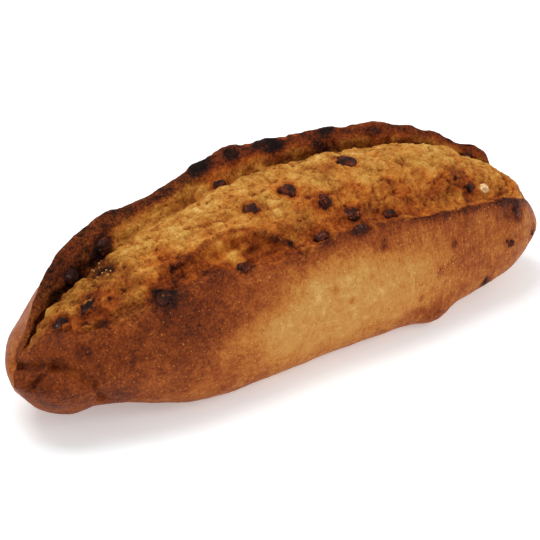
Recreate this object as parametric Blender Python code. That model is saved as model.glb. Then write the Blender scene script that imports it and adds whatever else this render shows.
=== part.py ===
"""Fig bread: one uncut hearth loaf, scored along its top, with diced figs and a few nuts in the crumb.

The loaf lies along X on a flat base at z = 0, with the ear of the score on its far (+Y) side.
Each cross-section is a ring through named rails, and the rails follow smooth curves from tip to tip.
"""

import math

import bmesh
import bpy
import numpy as np
from mathutils import Matrix, Vector, noise
from mathutils.bvhtree import BVHTree

MM = 0.001

# Driving dimensions of the loaf
LENGTH = 260 * MM
HALF_WIDTH = 45 * MM
HALF_LENGTH = LENGTH / 2
STATIONS = 80
FIT_GAP = 0.35 * MM
CRUST_FADE = 8 * MM

# How bluntly the plan and the top close: power at the near tip, power at the far tip, and root
PLAN_TAPER = (2.7, 3.1, 1.8)
TOP_TAPER = (2.2, 3.1, 2.0)

# Curves along the loaf, as (station from -1 at the near tip to 1 at the far tip, value)
# The first group is in millimetres
BEND = (
    (-1, -10.7), (-0.85, -3.4), (-0.6, -1.9), (-0.3, 0.4), (0, 1.1),
    (0.3, -1.8), (0.6, -5.4), (0.85, -15.4), (1, -20),
)
WAIST_HEIGHT = ((-1, 26.5), (0, 28.2), (0.6, 28), (0.85, 25.5), (1, 22))
BASE_HEIGHT = (
    (-1, 25), (-0.97, 19), (-0.93, 13.3), (-0.88, 9), (-0.83, 6.8), (-0.77, 9.2), (-0.72, 9.4),
    (-0.57, 4.6), (-0.45, 1.9), (-0.3, 0), (0.35, 0), (0.6, 4.4), (0.85, 9), (1, 18),
)
CAP_HEIGHT = (
    (-1, 22), (-0.85, 37), (-0.6, 40), (-0.3, 40.5), (0, 41.8),
    (0.3, 42), (0.6, 40.6), (0.85, 38), (1, 31),
)
EAR_LIFT = (
    (-0.93, 1.5), (-0.8, 7.6), (-0.7, 10.6), (-0.52, 11), (-0.43, 8), (-0.28, 6.8), (-0.13, 9.6),
    (0.02, 11), (0.13, 8.8), (0.6, 8.2), (0.8, 7.2), (0.87, 9.8), (0.905, 1),
)
GROOVE_DEPTH = ((-0.95, 1), (-0.8, 4), (-0.4, 3), (0.4, 3), (0.8, 2), (0.95, 0.5))
LIP_LIFT = ((-1, 0.6), (-0.2, 0.8), (0.2, 1.7), (0.8, 1.5), (0.95, 0.4))
VALLEY_DEPTH = ((-1, 0.5), (-0.5, 1.3), (-0.2, 2.0), (0.2, 2.2), (0.8, 1.8), (0.95, 0.5))

# The second group is in degrees round the section, from the near waist (0) over the top (90)
LIP_ANGLE = (
    (-0.93, 62), (-0.8, 50), (-0.6, 45), (-0.35, 47), (-0.1, 39),
    (0.15, 41.5), (0.6, 35), (0.78, 39), (0.9, 40),
)
GROOVE_ANGLE = (
    (-0.93, 84), (-0.8, 97), (-0.35, 104), (-0.1, 107.5),
    (0.4, 109.5), (0.6, 107), (0.78, 104), (0.9, 100),
)
CREST_ANGLE = (
    (-0.93, 92), (-0.8, 106), (-0.6, 111), (-0.1, 116.5),
    (0.15, 118), (0.4, 118), (0.78, 114), (0.9, 110),
)

# The third group is shares: how wide the foot is of the half width, and how far the score has opened
FOOT_SHARE = (
    (-1, 0.38), (-0.85, 0.44), (-0.6, 0.59), (-0.3, 0.68),
    (0.3, 0.67), (0.6, 0.72), (0.85, 0.6), (1, 0.4),
)
OPENING = ((-1, 0), (-0.965, 0), (-0.9, 0.75), (-0.8, 1), (0.84, 1), (0.91, 0.7), (0.97, 0), (1, 0))

# Where the rails of the score lie beyond its ends, where it has closed, in degrees round the section
CLOSED_ANGLE = {
    "near_lip": 52, "valley": 60, "crown_near": 72, "crown": 84, "crown_far": 92,
    "groove": 100, "ear_inner": 106, "ear_crest": 114, "ear_outer": 122,
}
# The rails that keep their place: shoulders in degrees, and the heel's shares outward and upward
NEAR_SHOULDER = 26
FAR_SHOULDER = 154
HEEL_OUT = 0.24
HEEL_UP = 0.25
# The rails between lip and ear: turns in degrees, or shares of the way from one rail to the next
VALLEY_TURN = 5
CROWN_NEAR_SHARE = 0.35
CROWN_SHARE = 0.65
CROWN_FAR_TURN = -7
CROWN_FAR_DIP = 0.5 * MM
EAR_INNER_SHARE = 0.4
EAR_INNER_LIFT = 0.5
EAR_OUTER_TURN = 6
EAR_OUTER_LIFT = 0.45

# Rails round the section in order: points from each rail to the next, and how crumbly the surface is there
RAILS = {
    "keel": (2, 0.0),
    "near_foot": (2, 0.0),
    "near_heel": (4, 0.05),
    "near_waist": (4, 0.08),
    "near_shoulder": (4, 0.1),
    "near_lip": (2, 0.45),
    "valley": (4, 1.0),
    "crown_near": (5, 1.0),
    "crown": (4, 1.0),
    "crown_far": (3, 0.9),
    "groove": (3, 0.6),
    "ear_inner": (3, 0.6),
    "ear_crest": (3, 0.7),
    "ear_outer": (4, 0.3),
    "far_shoulder": (4, 0.08),
    "far_waist": (3, 0.08),
    "far_heel": (2, 0.05),
    "far_foot": (2, 0.0),
}

# Soft dents all over, and crags of torn crumb: height, wavelength, and seed of the pattern
DENTS = (1.0, 34 * MM, 3.1)
CRAGS = ((1.9, 12 * MM, 7.7), (1.0, 6 * MM, 1.9))
# Folds pressed into the crust, in millimetres: depth, width, and the route that each follows
# The first two are where the dough was tucked in at the near tip, the third is a torn band by the lip
FOLDS = (
    (3.2, 2.0, (
        (-125, -6.5, 31), (-122.5, -15, 34), (-118.5, -20.5, 36), (-113.5, -25.5, 34.5),
        (-110.5, -28, 32.5), (-106.5, -31, 29), (-100, -27.5, 17.5),
    )),
    (2.0, 1.8, ((-118.5, -20.5, 36), (-121, -20, 34), (-124, -19, 30.5), (-126, -18.5, 28.5))),
    (2.0, 3.6, (
        (-68, -24, 59), (-55, -25, 60), (-43, -25, 61),
        (-33, -28, 60), (-19, -30, 59), (-4, -29, 59),
    )),
)
# Swellings of the crust, in millimetres: height, radius, centre
SWELLINGS = (
    (2.5, 11, (-116, -25, 25)),
    (-2.4, 12, (-111, 18, 39)),
    (3.2, 8, (59, -41, 6)),
    (1.5, 12, (-60, -42, 8)),
    (-1.8, 8, (126, -24, 33)),
)

# Fruit and nut pieces that show: station along x in millimetres, angle round the section in degrees,
# then length, width and thickness in millimetres, and the turn of the length away from x in degrees
FIGS = (
    (-108.3, 67, (7.5, 6, 5), 20),
    (-96.2, 66, (11, 6.5, 5), 18),
    (-91, 104.8, (8, 7, 5.5), 0),
    (-73.9, 105.5, (8.5, 7.5, 7), 60),
    (-70, 44.5, (10, 7, 5), 10),
    (-33.3, 41, (6.5, 5, 4), 0),
    (-14.5, 73.5, (8, 6.5, 5), -20),
    (-10.9, 110.5, (9, 6, 5), 0),
    (4.7, 75, (8, 8.5, 6), -30),
    (7.8, 42.5, (9, 6, 5), 15),
    (15.6, 60, (7, 7.5, 6), 0),
    (25.6, 49.5, (7.5, 6, 5), -30),
    (23.3, 39.5, (9, 4.5, 4.5), 12),
    (40.8, 86.5, (11, 8, 6), -55),
    (43, 42.5, (7, 5, 4.5), 0),
    (87.7, 48, (6, 5, 4), 0),
    (105.6, 25.5, (5.5, 8, 4.5), 25),
    (98.3, 1.5, (5.5, 5, 4), 0),
    (68.4, 113.5, (6, 4, 3.5), 0),
    (116.4, 1.5, (6, 5.5, 4.5), 0),
    (105.7, 106.5, (5, 5, 4), 0),
    (94, 105, (5, 4, 4), 0),
    (86.6, -23.5, (5.5, 4, 3.5), 0),
)
NUTS = ((94.8, 48, (7, 5, 5), -25),)
PROUD_SHARE = 0.3
PIECE_UNEVENNESS = 0.16
PIECE_WAVELENGTH = 0.45
FIG_SEED = 10
NUT_SEED = 50


def along(stations, knots):
    """Monotone cubic curve through the knots, read at each station."""
    places, values = np.array(knots, float).T
    steps = np.diff(places)
    slopes = np.diff(values) / steps
    before, after = slopes[:-1], slopes[1:]
    weight_before = 2 * steps[1:] + steps[:-1]
    weight_after = steps[1:] + 2 * steps[:-1]
    turning = before * after <= 0
    safe_before = np.where(turning, 1, before)
    safe_after = np.where(turning, 1, after)
    mean = (weight_before + weight_after) / (weight_before / safe_before + weight_after / safe_after)
    tangents = np.concatenate([slopes[:1], np.where(turning, 0, mean), slopes[-1:]])
    inside = np.clip(stations, places[0], places[-1])
    left = np.clip(np.searchsorted(places, inside, side="right") - 1, 0, len(steps) - 1)
    return hermite(values[left], values[left + 1], tangents[left] * steps[left],
                   tangents[left + 1] * steps[left], (inside - places[left]) / steps[left])


def hermite(start, end, start_tangent, end_tangent, t):
    """Cubic from start to end with the two tangents, at t from 0 to 1."""
    return ((2 * t**3 - 3 * t**2 + 1) * start + (t**3 - 2 * t**2 + t) * start_tangent
            + (3 * t**2 - 2 * t**3) * end + (t**3 - t**2) * end_tangent)


def taper(stations, near_power, far_power, root):
    """Share of the full section that is left at each station."""
    power = np.where(stations < 0, near_power, far_power)
    return np.clip(1 - np.abs(stations)**power, 0, 1)**(1 / root)


def even_stations(count):
    """Stations spaced evenly along the loaf's plan outline, so the round tips get enough rings."""
    fine = np.sin(np.linspace(-math.pi / 2, math.pi / 2, 2001))
    outline = np.stack([fine * HALF_LENGTH, HALF_WIDTH * taper(fine, *PLAN_TAPER)])
    run = np.concatenate([[0], np.cumsum(np.linalg.norm(np.diff(outline), axis=0))])
    return np.interp(np.linspace(0, run[-1], count), run, fine)


def dome(stations, degrees, lift):
    """Point on the upper half of the section, lifted square to it, as (y, z)."""
    half_width = HALF_WIDTH * taper(stations, *PLAN_TAPER)
    height = MM * along(stations, CAP_HEIGHT) * taper(stations, *TOP_TAPER)
    angle = np.radians(degrees)
    outward = np.stack([-np.cos(angle) * height, np.sin(angle) * half_width], -1)
    outward /= np.maximum(np.linalg.norm(outward, axis=-1, keepdims=True), 1e-9)
    y = MM * along(stations, BEND) - half_width * np.cos(angle)
    z = MM * along(stations, WAIST_HEIGHT) + height * np.sin(angle)
    return np.stack([y, z], -1) + outward * np.reshape(lift, (-1, 1))


def underside(stations, across, up):
    """Point below the waist: across in half widths from the axis, up as a share from base to waist."""
    half_width = HALF_WIDTH * taper(stations, *PLAN_TAPER)
    waist = MM * along(stations, WAIST_HEIGHT)
    base = MM * along(stations, BASE_HEIGHT)
    return np.stack([MM * along(stations, BEND) + across * half_width, base + up * (waist - base)], -1)


def section_rails(stations):
    """The named points that each section passes through, as an array (station, rail, yz)."""
    opening = along(stations, OPENING)
    lip = along(stations, LIP_ANGLE)
    groove = along(stations, GROOVE_ANGLE)
    crest = along(stations, CREST_ANGLE)
    lift = MM * along(stations, EAR_LIFT)
    foot = along(stations, FOOT_SHARE)

    level = 0 * stations
    between = groove - lip

    def scored(rail, open_angle, open_lift):
        angle = CLOSED_ANGLE[rail] + (open_angle - CLOSED_ANGLE[rail]) * opening
        return dome(stations, angle, open_lift * opening)

    rails = {
        "keel": underside(stations, 0, 0),
        "near_foot": underside(stations, -foot, 0),
        "near_heel": underside(stations, -foot - HEEL_OUT, HEEL_UP),
        "near_waist": underside(stations, -1, 1),
        "near_shoulder": dome(stations, NEAR_SHOULDER + level, level),
        "near_lip": scored("near_lip", lip, MM * along(stations, LIP_LIFT)),
        "valley": scored("valley", lip + VALLEY_TURN, -MM * along(stations, VALLEY_DEPTH)),
        "crown_near": scored("crown_near", lip + CROWN_NEAR_SHARE * between, level),
        "crown": scored("crown", lip + CROWN_SHARE * between, level),
        "crown_far": scored("crown_far", groove + CROWN_FAR_TURN, level - CROWN_FAR_DIP),
        "groove": scored("groove", groove, -MM * along(stations, GROOVE_DEPTH)),
        "ear_inner": scored("ear_inner", groove + EAR_INNER_SHARE * (crest - groove), EAR_INNER_LIFT * lift),
        "ear_crest": scored("ear_crest", crest, lift),
        "ear_outer": scored("ear_outer", crest + EAR_OUTER_TURN, EAR_OUTER_LIFT * lift),
        "far_shoulder": dome(stations, FAR_SHOULDER + level, level),
        "far_waist": underside(stations, 1, 1),
        "far_heel": underside(stations, foot + HEEL_OUT, HEEL_UP),
        "far_foot": underside(stations, foot, 0),
    }
    return np.stack([rails[name] for name in RAILS], 1)


def rings(stations):
    """Closed sections through the rails, with how crumbly each of their points is."""
    rails = section_rails(stations)
    counts = [count for count, crumbly in RAILS.values()]
    crumbly = [crumbly for count, crumbly in RAILS.values()]
    points, weights = [], []
    for rail, count in enumerate(counts):
        before, start, end, after = (rails[:, (rail + step) % len(counts)] for step in (-1, 0, 1, 2))
        lead, span, trail = (np.sqrt(np.linalg.norm(b - a, axis=1, keepdims=True)) + 1e-9
                             for a, b in ((before, start), (start, end), (end, after)))
        chord = (end - start) / span
        leave = ((start - before) / lead - (end - before) / (lead + span) + chord) * span
        arrive = (chord - (after - start) / (span + trail) + (after - end) / trail) * span
        if list(RAILS)[rail] in ("keel", "far_foot"):
            leave = arrive = end - start
        for t in np.arange(count) / count:
            points.append(hermite(start, end, leave, arrive, t))
            weights.append(crumbly[rail] + (crumbly[(rail + 1) % len(counts)] - crumbly[rail]) * t)
    yz = np.stack(points, 1)
    x = np.broadcast_to((stations * HALF_LENGTH)[:, None, None], yz.shape[:2] + (1,))
    return np.concatenate([x, yz], -1), np.array(weights)


def normals_of(grid):
    """Outward normals of a grid of rings."""
    round_step = np.roll(grid, -1, 1) - np.roll(grid, 1, 1)
    long_step = np.gradient(grid, axis=0)
    normal = np.cross(long_step, round_step)
    return normal / np.maximum(np.linalg.norm(normal, axis=-1, keepdims=True), 1e-12)


def waviness(point, wavelength, seed):
    """Smooth noise of about one, for a bump of the given wavelength."""
    return noise.noise(Vector(point) / wavelength + Vector((seed, 2.3 * seed, -1.7 * seed)))


def distance_to_route(points, route):
    """Distance from each point to a broken line given in millimetres."""
    corners = MM * np.array(route, float)
    nearest = np.full(points.shape[:-1], np.inf)
    for start, end in zip(corners[:-1], corners[1:]):
        run = end - start
        share = np.clip((points - start) @ run / (run @ run), 0, 1)
        gap = np.linalg.norm(points - start - share[..., None] * run, axis=-1)
        nearest = np.minimum(nearest, gap)
    return nearest


def relief(points, crumbly):
    """Height of the crust's dents, torn crumb and swellings above the smooth loaf."""
    height = np.empty(points.shape[:-1])
    dent, *dent_pattern = DENTS
    for spot in np.ndindex(height.shape):
        place = points[spot]
        crags = sum(crag * waviness(place, *pattern) for crag, *pattern in CRAGS)
        height[spot] = dent * waviness(place, *dent_pattern) + crumbly[spot[1]] * crags
    height *= np.clip(points[..., 2] / CRUST_FADE, 0, 1)
    for swell, radius, centre in SWELLINGS:
        away = np.linalg.norm(points - MM * np.array(centre), axis=-1)
        height += swell * np.exp(-(away / (radius * MM))**2)
    return MM * height


def fold_depth(points):
    """How deep the folds press into the crust at each point."""
    depths = (depth * np.exp(-(distance_to_route(points, route) / (width * MM))**2)
              for depth, width, route in FOLDS)
    return MM * sum(depths)


def material(name, colour, roughness):
    made = bpy.data.materials.new(name)
    made.use_nodes = True
    shader = made.node_tree.nodes["Principled BSDF"]
    shader.inputs["Base Color"].default_value = (*colour, 1)
    shader.inputs["Roughness"].default_value = roughness
    return made


def add_object(name, mesh, finish):
    made = bpy.data.objects.new(name, mesh)
    bpy.context.collection.objects.link(made)
    mesh.materials.append(finish)
    mesh.shade_smooth()
    return made


def loaf_mesh():
    """The loaf as one closed skin: rings between two tips, with its base flat on z = 0."""
    stations = even_stations(STATIONS + 2)
    grid, crumbly = rings(stations[1:-1])
    grid += normals_of(grid) * relief(grid, crumbly)[..., None]
    grid -= normals_of(grid) * fold_depth(grid)[..., None]
    grid[..., 2] = np.maximum(grid[..., 2], 0)
    tips = rings(stations[[0, -1]])[0].mean(1)
    mesh = bmesh.new()
    loops = [[mesh.verts.new(point) for point in ring] for ring in grid]
    for near, far in zip(loops[:-1], loops[1:]):
        for spot in range(len(near)):
            after = (spot + 1) % len(near)
            mesh.faces.new((near[spot], near[after], far[after], far[spot]))
    for loop, tip, turn in ((loops[0], tips[0], -1), (loops[-1], tips[1], 1)):
        centre = mesh.verts.new(tip)
        for spot in range(len(loop)):
            after = (spot + 1) % len(loop)
            mesh.faces.new((loop[spot], loop[after], centre)[::turn])
    bmesh.ops.triangulate(mesh, faces=mesh.faces[:])
    bmesh.ops.recalc_face_normals(mesh, faces=mesh.faces[:])
    made = bpy.data.meshes.new("loaf")
    mesh.to_mesh(made)
    mesh.free()
    return made


def piece_mesh(name, size, seed):
    """One diced piece: an uneven rounded block of about the given size."""
    mesh = bmesh.new()
    bmesh.ops.create_icosphere(mesh, subdivisions=2, radius=0.5)
    for vert in mesh.verts:
        uneven = 1 + PIECE_UNEVENNESS * waviness(vert.co, PIECE_WAVELENGTH, seed)
        vert.co = Vector(axis * extent * MM for axis, extent in zip(vert.co * uneven, size))
    bmesh.ops.recalc_face_normals(mesh, faces=mesh.faces[:])
    made = bpy.data.meshes.new(name)
    mesh.to_mesh(made)
    mesh.free()
    return made


def seat(crust_tree, x, angle, thickness, turn):
    """Where a piece sits: where the ray from the loaf's core first leaves it, part of it standing proud."""
    station = x * MM / HALF_LENGTH
    core = Vector((x * MM, MM * float(along(station, BEND)), MM * float(along(station, WAIST_HEIGHT))))
    outward = Vector((0, -math.cos(math.radians(angle)), math.sin(math.radians(angle))))
    surface, normal = crust_tree.ray_cast(core, outward)[:2]
    lengthwise = Vector((1, 0, 0)) - normal * normal.x
    lengthwise.normalize()
    crosswise = normal.cross(lengthwise)
    frame = Matrix((lengthwise, crosswise, normal)).transposed().to_4x4()
    centre = surface + normal * (PROUD_SHARE - 0.5) * thickness * MM
    return Matrix.Translation(centre) @ frame @ Matrix.Rotation(math.radians(turn), 4, "Z")


def add_pieces(kind, pieces, finish, crust_tree, first_seed):
    """One object for each piece of a kind, seated in the crust."""
    made = []
    for number, (x, angle, size, turn) in enumerate(pieces, 1):
        name = f"{kind}_{number:02d}"
        piece = add_object(name, piece_mesh(name, size, first_seed + number), finish)
        piece.matrix_world = seat(crust_tree, x, angle, size[2], turn)
        made.append(piece)
    return made


def pocket_cutter(pieces):
    """All the pieces a little swollen, as one guide that the loaf's pockets are cut with."""
    cutter = bmesh.new()
    for piece in pieces:
        swollen = bmesh.new()
        swollen.from_mesh(piece.data)
        swollen.normal_update()
        for vert in swollen.verts:
            vert.co += vert.normal * FIT_GAP
        swollen.transform(piece.matrix_world)
        copy = bpy.data.meshes.new("pocket")
        swollen.to_mesh(copy)
        swollen.free()
        cutter.from_mesh(copy)
        bpy.data.meshes.remove(copy)
    mesh = bpy.data.meshes.new("pockets")
    cutter.to_mesh(mesh)
    cutter.free()
    guide = bpy.data.objects.new("pockets", mesh)
    bpy.context.collection.objects.link(guide)
    guide.hide_render = True
    guide.display_type = "WIRE"
    return guide


for leftover in list(bpy.data.objects):
    bpy.data.objects.remove(leftover, do_unlink=True)

crust = material("baked_crust", (0.42, 0.19, 0.07), 0.6)
fig_flesh = material("baked_fig", (0.06, 0.02, 0.01), 0.35)
nut_flesh = material("baked_nut", (0.75, 0.55, 0.32), 0.5)

loaf = add_object("loaf", loaf_mesh(), crust)
uncut = bmesh.new()
uncut.from_mesh(loaf.data)
tree = BVHTree.FromBMesh(uncut)
uncut.free()
figs = add_pieces("fig", FIGS, fig_flesh, tree, FIG_SEED)
nuts = add_pieces("nut", NUTS, nut_flesh, tree, NUT_SEED)

pockets = pocket_cutter(figs + nuts)
cut = loaf.modifiers.new("pockets", "BOOLEAN")
cut.operation = "DIFFERENCE"
cut.object = pockets

# The whole loaf hangs from one empty, which centres it on its own width
across = [vert.co.y for vert in loaf.data.vertices]
centre_line = bpy.data.objects.new("centre_line", None)
bpy.context.collection.objects.link(centre_line)
for made in (loaf, pockets, *figs, *nuts):
    made.parent = centre_line
centre_line.location.y = -(min(across) + max(across)) / 2
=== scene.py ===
"""Fig bread: an uncut hearth loaf with an ear and a torn crumb, diced figs and a piece of nut showing."""

import math

import bmesh
import bpy
import numpy as np
from mathutils import Matrix, Vector, noise
from mathutils.bvhtree import BVHTree


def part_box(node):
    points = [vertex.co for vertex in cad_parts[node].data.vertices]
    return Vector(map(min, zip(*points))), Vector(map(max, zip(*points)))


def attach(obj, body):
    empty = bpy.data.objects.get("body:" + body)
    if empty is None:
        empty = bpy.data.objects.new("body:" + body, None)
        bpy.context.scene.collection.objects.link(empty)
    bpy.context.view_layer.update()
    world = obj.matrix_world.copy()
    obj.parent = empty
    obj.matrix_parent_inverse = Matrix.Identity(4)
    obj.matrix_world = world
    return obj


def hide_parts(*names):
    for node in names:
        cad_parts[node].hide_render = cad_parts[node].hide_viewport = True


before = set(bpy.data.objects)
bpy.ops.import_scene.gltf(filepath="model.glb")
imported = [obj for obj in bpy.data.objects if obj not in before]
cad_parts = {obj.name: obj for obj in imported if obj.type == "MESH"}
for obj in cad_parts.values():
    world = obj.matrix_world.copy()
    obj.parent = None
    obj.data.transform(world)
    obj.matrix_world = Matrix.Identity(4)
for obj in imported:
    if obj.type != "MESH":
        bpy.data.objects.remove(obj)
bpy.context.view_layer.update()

# The loaf: wheat dough proved, slashed along the top and baked on a hearth.
# Its smooth crust wraps a flat base, and where the slash opened the torn crumb shows, with the far
# edge of the cut lifted into a thin dark ear. It is one skin, lofted through rails from tip to tip.
MM = 0.001
HALF_LENGTH = 130 * MM
HALF_WIDTH = 45 * MM
CRUST_FADE = 8 * MM
LOAF_STATIONS = 424

# How bluntly the plan and the top close: power at the near tip, power at the far tip, and root
PLAN_TAPER = (2.7, 3.1, 1.8)
TOP_TAPER = (2.2, 3.1, 2.0)

# Curves along the loaf, as (station from -1 at the near tip to 1 at the far tip, value)
# The first group is in millimetres
BEND = (
    (-1, -10.7), (-0.85, -3.4), (-0.6, -1.9), (-0.3, 0.4), (0, 1.1),
    (0.3, -1.8), (0.6, -5.4), (0.85, -15.4), (1, -20),
)
WAIST_HEIGHT = ((-1, 26.5), (0, 28.2), (0.6, 28), (0.85, 25.5), (1, 22))
BASE_HEIGHT = (
    (-1, 25), (-0.97, 19), (-0.93, 13.3), (-0.88, 9), (-0.83, 6.8), (-0.77, 9.2), (-0.72, 9.4),
    (-0.57, 4.6), (-0.45, 1.9), (-0.3, 0), (0.35, 0), (0.6, 4.4), (0.85, 9), (1, 18),
)
CAP_HEIGHT = (
    (-1, 22), (-0.85, 37), (-0.6, 40), (-0.3, 40.5), (0, 41.8),
    (0.3, 42), (0.6, 40.6), (0.85, 38), (1, 31),
)
EAR_LIFT = (
    (-0.93, 1.5), (-0.8, 7.6), (-0.7, 10.6), (-0.52, 11), (-0.43, 8), (-0.28, 6.8), (-0.13, 9.6),
    (0.02, 11), (0.13, 8.8), (0.6, 8.2), (0.8, 7.2), (0.87, 9.8), (0.905, 1),
)
GROOVE_DEPTH = ((-0.95, 1), (-0.8, 4), (-0.4, 3), (0.4, 3), (0.8, 2), (0.95, 0.5))
LIP_LIFT = ((-1, 0.6), (-0.2, 0.8), (0.2, 1.7), (0.8, 1.5), (0.95, 0.4))
VALLEY_DEPTH = ((-1, 0.5), (-0.5, 1.3), (-0.2, 2.0), (0.2, 2.2), (0.8, 1.8), (0.95, 0.5))

# The second group is in degrees round the section, from the near waist (0) over the top (90)
LIP_ANGLE = (
    (-0.93, 62), (-0.8, 50), (-0.6, 45), (-0.35, 47), (-0.1, 39),
    (0.15, 41.5), (0.6, 35), (0.78, 39), (0.9, 40),
)
GROOVE_ANGLE = (
    (-0.93, 84), (-0.8, 97), (-0.35, 104), (-0.1, 107.5),
    (0.4, 109.5), (0.6, 107), (0.78, 104), (0.9, 100),
)
CREST_ANGLE = (
    (-0.93, 92), (-0.8, 106), (-0.6, 111), (-0.1, 116.5),
    (0.15, 118), (0.4, 118), (0.78, 114), (0.9, 110),
)

# The third group is shares: how wide the foot is of the half width, and how far the score has opened
FOOT_SHARE = (
    (-1, 0.38), (-0.85, 0.44), (-0.6, 0.59), (-0.3, 0.68),
    (0.3, 0.67), (0.6, 0.72), (0.85, 0.6), (1, 0.4),
)
OPENING = ((-1, 0), (-0.965, 0), (-0.9, 0.75), (-0.8, 1), (0.84, 1), (0.91, 0.7), (0.97, 0), (1, 0))

# Where the rails of the score lie beyond its ends, where it has closed, in degrees round the section
CLOSED_ANGLE = {
    "near_lip": 52, "valley": 60, "crown_near": 72, "crown": 84, "crown_far": 92,
    "groove": 100, "ear_inner": 106, "ear_crest": 114, "ear_outer": 122,
}
# The rails that keep their place: shoulders in degrees, and the heel's shares outward and upward
NEAR_SHOULDER = 26
FAR_SHOULDER = 154
HEEL_OUT = 0.24
HEEL_UP = 0.25
# The rails between lip and ear: turns in degrees, or shares of the way from one rail to the next
VALLEY_TURN = 5
CROWN_NEAR_SHARE = 0.35
CROWN_SHARE = 0.65
CROWN_FAR_TURN = -7
CROWN_FAR_DIP = 0.5 * MM
EAR_INNER_SHARE = 0.4
EAR_INNER_LIFT = 0.5
EAR_OUTER_TURN = 6
EAR_OUTER_LIFT = 0.45

# Rails round the section in order: points from each rail to the next, and how crumbly the surface is there
RAILS = {
    "keel": (5, 0.0), "near_foot": (5, 0.0), "near_heel": (16, 0.05), "near_waist": (20, 0.08),
    "near_shoulder": (16, 0.1), "near_lip": (9, 0.45), "valley": (22, 1.0), "crown_near": (25, 1.0),
    "crown": (20, 1.0), "crown_far": (12, 0.9), "groove": (12, 0.6), "ear_inner": (12, 0.6),
    "ear_crest": (12, 0.7), "ear_outer": (16, 0.3), "far_shoulder": (12, 0.08), "far_waist": (8, 0.08),
    "far_heel": (4, 0.05), "far_foot": (5, 0.0),
}
RAIL = {name: number for number, name in enumerate(RAILS)}

# Soft dents all over, and crags of torn crumb: height and wavelength in millimetres, and seed
DENTS = ((1.0, 34, 3.1),)
CRAGS = ((1.9, 12, 7.7), (1.0, 6, 1.9))
NOISE_DRIFT = (1, 2.3, -1.7)
# On the near half the rim of the ear is calmer: between which stations, over how many rails, by what share
CALM_STATIONS = (-0.08, -0.25)
CALM_WIDTH = 1.3
CALM_SHARE = 0.75
# Folds pressed into the crust, in millimetres: depth, width, and the route that each follows
# The first two are where the dough was tucked in at the near tip, the third is a torn band by the lip
FOLDS = (
    (3.2, 2.0, (
        (-125, -6.5, 31), (-122.5, -15, 34), (-118.5, -20.5, 36), (-113.5, -25.5, 34.5),
        (-110.5, -28, 32.5), (-106.5, -31, 29), (-100, -27.5, 17.5),
    )),
    (2.0, 1.8, ((-118.5, -20.5, 36), (-121, -20, 34), (-124, -19, 30.5), (-126, -18.5, 28.5))),
    (2.0, 3.6, (
        (-68, -24, 59), (-55, -25, 60), (-43, -25, 61),
        (-33, -28, 60), (-19, -30, 59), (-4, -29, 59),
    )),
)
# Swellings of the crust, in millimetres: height, radius, centre
SWELLINGS = (
    (2.5, 11, (-116, -25, 25)),
    (-2.4, 12, (-111, 18, 39)),
    (3.2, 8, (59, -41, 6)),
    (1.5, 12, (-60, -42, 8)),
    (-1.8, 8, (126, -24, 33)),
)


def along(stations, knots):
    """Monotone cubic curve through the knots, read at each station."""
    places, values = np.array(knots, float).T
    steps = np.diff(places)
    slopes = np.diff(values) / steps
    before, after = slopes[:-1], slopes[1:]
    weight_before = 2 * steps[1:] + steps[:-1]
    weight_after = steps[1:] + 2 * steps[:-1]
    turning = before * after <= 0
    safe_before = np.where(turning, 1, before)
    safe_after = np.where(turning, 1, after)
    mean = (weight_before + weight_after) / (weight_before / safe_before + weight_after / safe_after)
    tangents = np.concatenate([slopes[:1], np.where(turning, 0, mean), slopes[-1:]])
    inside = np.clip(stations, places[0], places[-1])
    left = np.clip(np.searchsorted(places, inside, side="right") - 1, 0, len(steps) - 1)
    return hermite(values[left], values[left + 1], tangents[left] * steps[left],
                   tangents[left + 1] * steps[left], (inside - places[left]) / steps[left])


def hermite(start, end, start_tangent, end_tangent, t):
    """Cubic from start to end with the two tangents, at t from 0 to 1."""
    return ((2 * t**3 - 3 * t**2 + 1) * start + (t**3 - 2 * t**2 + t) * start_tangent
            + (3 * t**2 - 2 * t**3) * end + (t**3 - t**2) * end_tangent)


def taper(stations, near_power, far_power, root):
    """Share of the full section that is left at each station."""
    power = np.where(stations < 0, near_power, far_power)
    return np.clip(1 - np.abs(stations)**power, 0, 1)**(1 / root)


def even_stations(count):
    """Stations spaced evenly along the loaf's plan outline, so the round tips get enough rings."""
    fine = np.sin(np.linspace(-math.pi / 2, math.pi / 2, 4001))
    outline = np.stack([fine * HALF_LENGTH, HALF_WIDTH * taper(fine, *PLAN_TAPER)])
    run = np.concatenate([[0], np.cumsum(np.linalg.norm(np.diff(outline), axis=0))])
    return np.interp(np.linspace(0, run[-1], count), run, fine)


def dome(stations, degrees, lift):
    """Point on the upper half of the section, lifted square to it, as (y, z)."""
    half_width = HALF_WIDTH * taper(stations, *PLAN_TAPER)
    height = MM * along(stations, CAP_HEIGHT) * taper(stations, *TOP_TAPER)
    angle = np.radians(degrees)
    outward = np.stack([-np.cos(angle) * height, np.sin(angle) * half_width], -1)
    outward /= np.maximum(np.linalg.norm(outward, axis=-1, keepdims=True), 1e-9)
    y = MM * along(stations, BEND) - half_width * np.cos(angle)
    z = MM * along(stations, WAIST_HEIGHT) + height * np.sin(angle)
    return np.stack([y, z], -1) + outward * np.reshape(lift, (-1, 1))


def underside(stations, across, up):
    """Point below the waist: across in half widths from the axis, up as a share from base to waist."""
    half_width = HALF_WIDTH * taper(stations, *PLAN_TAPER)
    waist = MM * along(stations, WAIST_HEIGHT)
    base = MM * along(stations, BASE_HEIGHT)
    return np.stack([MM * along(stations, BEND) + across * half_width, base + up * (waist - base)], -1)


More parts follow.
